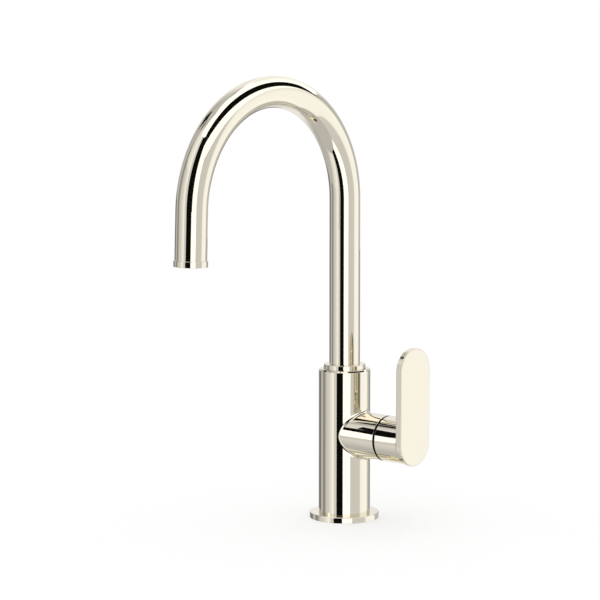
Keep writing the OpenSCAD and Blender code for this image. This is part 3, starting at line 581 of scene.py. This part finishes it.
def lever_plate():
    """The flat lever with round ends, and the blind seat for the hub's spigot."""
    skin = Skin()
    rise = PLATE_TOP - BOSS_R - BOSS_Z
    arc = np.linspace(0, 180, 65)
    turns = np.concatenate([arc, arc + 180, [360]])
    lift = np.concatenate([np.full(65, rise), np.full(65, -PLATE_FOOT), [rise]])[..., None] * Z
    flat_r = BOSS_R - 3
    turned(skin, PLATE, [(flat_r, 0), (BOSS_R, 0, 0.8), (BOSS_R, PLATE_T, 1.0), (flat_r, PLATE_T)], turns=turns,
           lift=lift)
    inner = PLATE.at(flat_r, turns, 0) + lift
    seat = PLATE.at(SPIGOT_R + SEAT_FIT, turns, 0)
    seat_end = seat + (SPIGOT_LEN + SEAT_FIT) * X
    between(skin, inner, seat, -X, steps=4)
    between(skin, seat, seat_end, -BOSS.out(turns))
    between(skin, seat_end, np.broadcast_to(PLATE.origin + (SPIGOT_LEN + SEAT_FIT) * X, seat.shape), -X)
    front = inner + PLATE_T * X
    between(skin, front, PLATE.origin + PLATE_T * X + lift, X, steps=2)
    piece("lever_plate_flat", skin, "lever", NICKEL, "polished_nickel", "lever_plate")


def spout_tube():
    """The bent tube, swept along its centre line."""
    skin = Skin()
    a = np.radians(np.linspace(0, 180 - BEND_SHORT, 121))
    bend = np.stack([0 * a, BEND_R * (np.cos(a) - 1), BEND_Z + BEND_R * np.sin(a)], -1)
    way = np.stack([0 * a, -np.sin(a), np.cos(a)], -1)
    path = np.concatenate([[(0, 0, COLLAR_FOOT)], bend, [LEG_TOP + DOWN * (DROP - RING_H)]])
    ways = np.concatenate([way[:1], way, way[-1:]])
    turns = np.radians(np.linspace(0, 360, 97))[None, :, None]
    out = np.cos(turns) * X + np.sin(turns) * np.cross(ways, X)[:, None]
    path = path[:, None]
    skin.patch(path + TUBE_R * out, out)
    skin.patch(path + TUBE_BORE_R * out, -out)
    for k, normal in ((0, -way[0]), (-1, way[-1])):
        skin.patch(path[k] + np.array((TUBE_BORE_R, TUBE_R))[:, None, None] * out[k], normal)
    piece("spout_tube_bent", skin, "spout", NICKEL, "polished_nickel", "spout_tube")


def spout_collar():
    skin = Skin()
    bore_r = TUBE_R + SEAT_FIT
    turned(skin, COLUMN, [
        (bore_r, COLLAR_FOOT), (COLLAR_R, COLLAR_FOOT, 0.3), (COLLAR_R, GROOVE_LOW), (GROOVE_R, GROOVE_LOW),
        (GROOVE_R, GROOVE_HIGH), (COLLAR_R, GROOVE_HIGH), (COLLAR_R, COLLAR_TOP, 0.45),
        (bore_r, COLLAR_TOP, 0.2)], closed=True)
    piece("spout_collar_turned", skin, "spout", NICKEL, "polished_nickel", "spout_collar")


def outlet_ring():
    skin = Skin()
    top = -DROP + RING_H
    turned(skin, OUTLET, [
        (SLEEVE_R, top), (SLEEVE_R, top + SLEEVE_LEN), (LEDGE_R, top + SLEEVE_LEN), (LEDGE_R, LEDGE_Z),
        (THREAD_R, LEDGE_Z), (THREAD_R, -DROP, 0.25), (RING_R, -DROP, 0.4), (RING_R, top, 0.45)], closed=True)
    piece("outlet_ring_turned", skin, "spout", NICKEL, "polished_nickel", "outlet_ring")


for make in (base_flange, body_shell, dome_cap, handle_hub, lever_plate, spout_tube, spout_collar,
             outlet_ring):
    make()


# ---- Camera ----

lens = bpy.data.cameras.new("camera")
lens.lens, lens.sensor_width, lens.clip_end = 159.95, 36, 100
camera = bpy.data.objects.new("camera", lens)
bpy.context.scene.collection.objects.link(camera)
camera.location = (1.38916, -1.63839, 0.46004)
aim = Vector((-0.01558, -0.03737, 0.18158))
camera.rotation_euler = (aim - camera.location).to_track_quat("-Z", "Y").to_euler()
bpy.context.scene.camera = camera
bpy.context.scene.view_settings.view_transform = "Standard"


# ---- Studio ----

MIDDLE = np.array((0.0, -0.05, 0.18))          # the faucet's middle, which the cards stand round
ARCH = np.array((0.0, -0.09, 0.33))            # the crown of the spout
FACE = 40.3                                     # the camera's turn, which the cards' turns start from
AWNING_ENDS = (6, PLATE_X + 14)                 # millimetres from the column's axis
BLACK, BRIGHT = 0.003, 0.9


def glow(name, stops, one_sided):
    """A card's light: one level, or levels at places from its one side to its other."""
    made, t = finish_of(name)
    if isinstance(stops, (int, float)):
        stops = ((0, stops), (1, stops))
    across = t.node("ShaderNodeSeparateXYZ", None, t.node("ShaderNodeUVMap", {"uv_map": "across"}))
    light = t.node("ShaderNodeEmission", None, Color=t.ramp(across, *stops), Strength=1.5)
    if one_sided:
        light = t.node("ShaderNodeMixShader", None, t.node("ShaderNodeNewGeometry", out=6), light,
                       t.node("ShaderNodeBsdfTransparent"))
    t.end(light)
    return made


def way_of(turn, rise):
    """The direction at a rise and at a turn from the camera's, in degrees."""
    t, e = np.radians(FACE + turn), np.radians(rise)
    return np.stack([np.sin(t) * np.cos(e), -np.cos(t) * np.cos(e), np.sin(e)], -1)


def card(name, level, turns, rises, far):
    """A curved card round the set, seen only in the metal."""
    grid = np.meshgrid(np.linspace(*turns, 25), np.linspace(*rises, 25), indexing="ij")
    hang(name, level, way_of(*grid), far, MIDDLE)


def plank(name, level, corners, far, about=MIDDLE):
    """A flat card with straight edges, given by the turn and rise of its four corners."""
    a, b, c, d = (way_of(*corner) for corner in corners)
    u, v = (s[..., None] for s in np.meshgrid(np.linspace(0, 1, 33), np.linspace(0, 1, 9), indexing="ij"))
    grid = (1 - u) * ((1 - v) * a + v * d) + u * ((1 - v) * b + v * c)
    hang(name, level, grid / np.linalg.norm(grid, axis=-1, keepdims=True), far, about)


def canopy(name, level, start, sights, height):
    """A small flat card over one spot, filling the turns and rises given as seen from there, and lit on its
    underside only."""
    a, b, c, d = (np.array(start) + (height - start[2]) / way[2] * way for way in (way_of(*s) for s in sights))
    hang(name, level, np.array(((a, d), (b, c))), MM, 0, one_sided=True)


def awning(name, level, low, high, start_z, slope):
    """A small card over the boss, lit on its underside only, so that the boss and the hub alone mirror it.
    Low and high are the rises between which they mirror it, near the column and beyond the plate."""
    way = (MIDDLE * (1, 1, 0) - camera.location) / np.linalg.norm(MIDDLE * (1, 1, 0) - camera.location)
    corners = []
    for rises in (high, low):
        for x, rise in zip(AWNING_ENDS, rises):
            up = math.sin(math.radians(rise))
            seen = np.array((way[0], -math.sqrt(way[1] ** 2 + way[2] ** 2 - up ** 2), up))
            facing = (seen - way) / np.linalg.norm(seen - way)
            start = np.array((x, 0, BOSS_Z)) + BOSS_R * facing
            corners.append(start + seen * (start_z - start[2]) / (up - slope * math.hypot(*seen[:2])))
    near_left, near_right, far_left, far_right = corners
    hang(name, level, np.array(((near_left, far_left), (near_right, far_right))), MM, 0, one_sided=True)


def hang(name, level, ways, far, about, one_sided=False):
    skin = Skin()
    skin.patch(ways * far / MM, -Z if one_sided else -ways)
    mesh = bpy.data.meshes.new(name)
    faces = np.concatenate(skin.faces)
    if one_sided and np.cross(ways[1, 0] - ways[0, 0], ways[0, 1] - ways[0, 0])[2] > 0:
        faces = faces[:, ::-1]
    mesh.from_pydata(np.concatenate(skin.points) * MM + about, [], faces.tolist())
    across = np.repeat(np.linspace(0, 1, ways.shape[0]), ways.shape[1])
    layer = mesh.uv_layers.new(name="across")
    for corner, vertex in zip(layer.data, faces.reshape(-1)):
        corner.uv = (across[vertex], 0)
    made = bpy.data.objects.new(name, mesh)
    bpy.context.scene.collection.objects.link(made)
    mesh.materials.append(glow(name, level, one_sided))
    for ray in ("camera", "diffuse", "transmission", "volume_scatter", "shadow"):
        setattr(made, "visible_" + ray, False)


# All round, behind the other cards
card("low_grey", 0.37, (-FACE, 360 - FACE), (-90, -50), 12)
card("ceiling", BRIGHT, (-FACE, 360 - FACE), (20, 90), 12)
# To the right, from behind the faucet to the camera
card("wall_grey", ((0, 0.45), (0.12, 0.37), (0.5, 0.37), (0.7, 0.5), (1, 0.62)), (120, 180), (-54, 27), 1.14)
card("wall_pale", ((0, 0.8), (0.5, 0.7), (1, 0.63)), (150, 180), (23, 62), 1.13)
card("dark_right", ((0, 0.5), (0.12, 0.4), (0.3, 0.27), (0.6, 0.24), (1, 0.24)), (124, 180), (-20, -4), 1.12)
card("wall_cream", ((0, 0.66), (0.06, 0.72), (0.5, 0.73), (0.85, 0.76), (1, 0.55)), (77, 123), (-54, 16), 1.1)
card("wall_beige", ((0, 0.45), (0.85, 0.46), (1, 0.52)), (28.5, 77), (-54, 28), 1.1)
card("softbox", BRIGHT, (-9, 28.5), (-54, 28), 1.1)
# The black stripe beside the softbox, and the black beam over the arch
card("black_flag", BLACK, (-35, -4.8), (-54, 4), 0.8)
card("black_flag_above", BLACK, (-35, -2), (4, 55), 0.8)
plank("black_beam", BLACK, [(-16, 29.5), (122, 13.2), (132, 29), (-16, 56.7)], 1.0, ARCH)
# To the left, far off, with its darker and brighter stretches
card("left_wall",
     ((0, 0.63), (0.1, 0.62), (0.17, 0.45), (0.226, 0.37), (0.274, 0.31), (0.356, 0.35), (0.425, 0.41),
      (0.468, 0.2), (0.55, 0.2), (0.582, 0.32), (0.63, 0.45), (0.685, 0.46), (0.74, 0.51), (0.788, 0.58),
      (0.822, 0.63), (0.87, 0.71), (0.89, 0.71), (0.91, 0.48), (1, 0.48)), (-180, -34), (-54, 57), 6)
card("left_wall_above", 0.38, (-180, -77), (57, 76), 6)
card("dark_left", ((0, 0.2), (0.5, 0.2), (0.75, 0.12), (0.88, 0.12), (1, 0.3)), (-180, -129), (-14, 0), 5.9)
card("left_high", ((0, 0.47), (0.25, 0.54), (0.5, 0.6), (0.75, 0.65), (1, 0.67)), (-100, -60), (28, 57), 5.9)
card("left_low", ((0, 0.34), (0.13, 0.36), (0.38, 0.36), (0.5, 0.42), (0.63, 0.5), (0.88, 0.62), (1, 0.64)),
     (-120, -60), (-54, -16), 5.9)
card("grey_slat", 0.33, (-118, -100), (34, 52), 5.85)
card("black_slat", BLACK, (-116, -105), (46.5, 50), 5.8)
plank("black_wedge", BLACK, [(-142, 31), (-129, 31), (-118, 51), (-131, 51)], 5.8)
# Close over the boss and its fillet
awning("boss_shade", BLACK, (18.5, 12.4), (27, 27), 105, 0.2)
awning("boss_sheen", BRIGHT, (-6, -6), (17.5, 11.4), 90, -0.12)
canopy("fillet_shade", BLACK, (16, -15.3, 81), [(-80, 29), (-30, 29), (-30, 43), (-80, 43)], 125)

world = bpy.data.worlds.new("studio")
bpy.context.scene.world = world
t = Tree(world)
t.end(t.node("ShaderNodeBackground", None, Color=(1, 1, 1, 1), Strength=1.0), "ShaderNodeOutputWorld")

floor_mesh = bpy.data.meshes.new("deck_floor")
DECK_HOLE_R, FLOOR_R = 0.0175, 40
angles = np.linspace(0, 2 * math.pi, 65)[:-1]
ring = [(r * math.cos(a), r * math.sin(a), 0) for r in (DECK_HOLE_R, FLOOR_R) for a in angles]
floor_mesh.from_pydata(ring, [], [(k, 64 + k, 64 + (k + 1) % 64, (k + 1) % 64) for k in range(64)])
floor = bpy.data.objects.new("deck_floor", floor_mesh)
bpy.context.scene.collection.objects.link(floor)
pale, t = finish_of("pale_floor")
lit = t.node("ShaderNodeBsdfDiffuse", None, Color=(0.62, 0.62, 0.62, 1))
own = t.node("ShaderNodeEmission", None, Color=(1, 1, 1, 1), Strength=0.39)
t.end(t.node("ShaderNodeAddShader", None, lit, own))
floor_mesh.materials.append(pale)
floor.visible_glossy = False
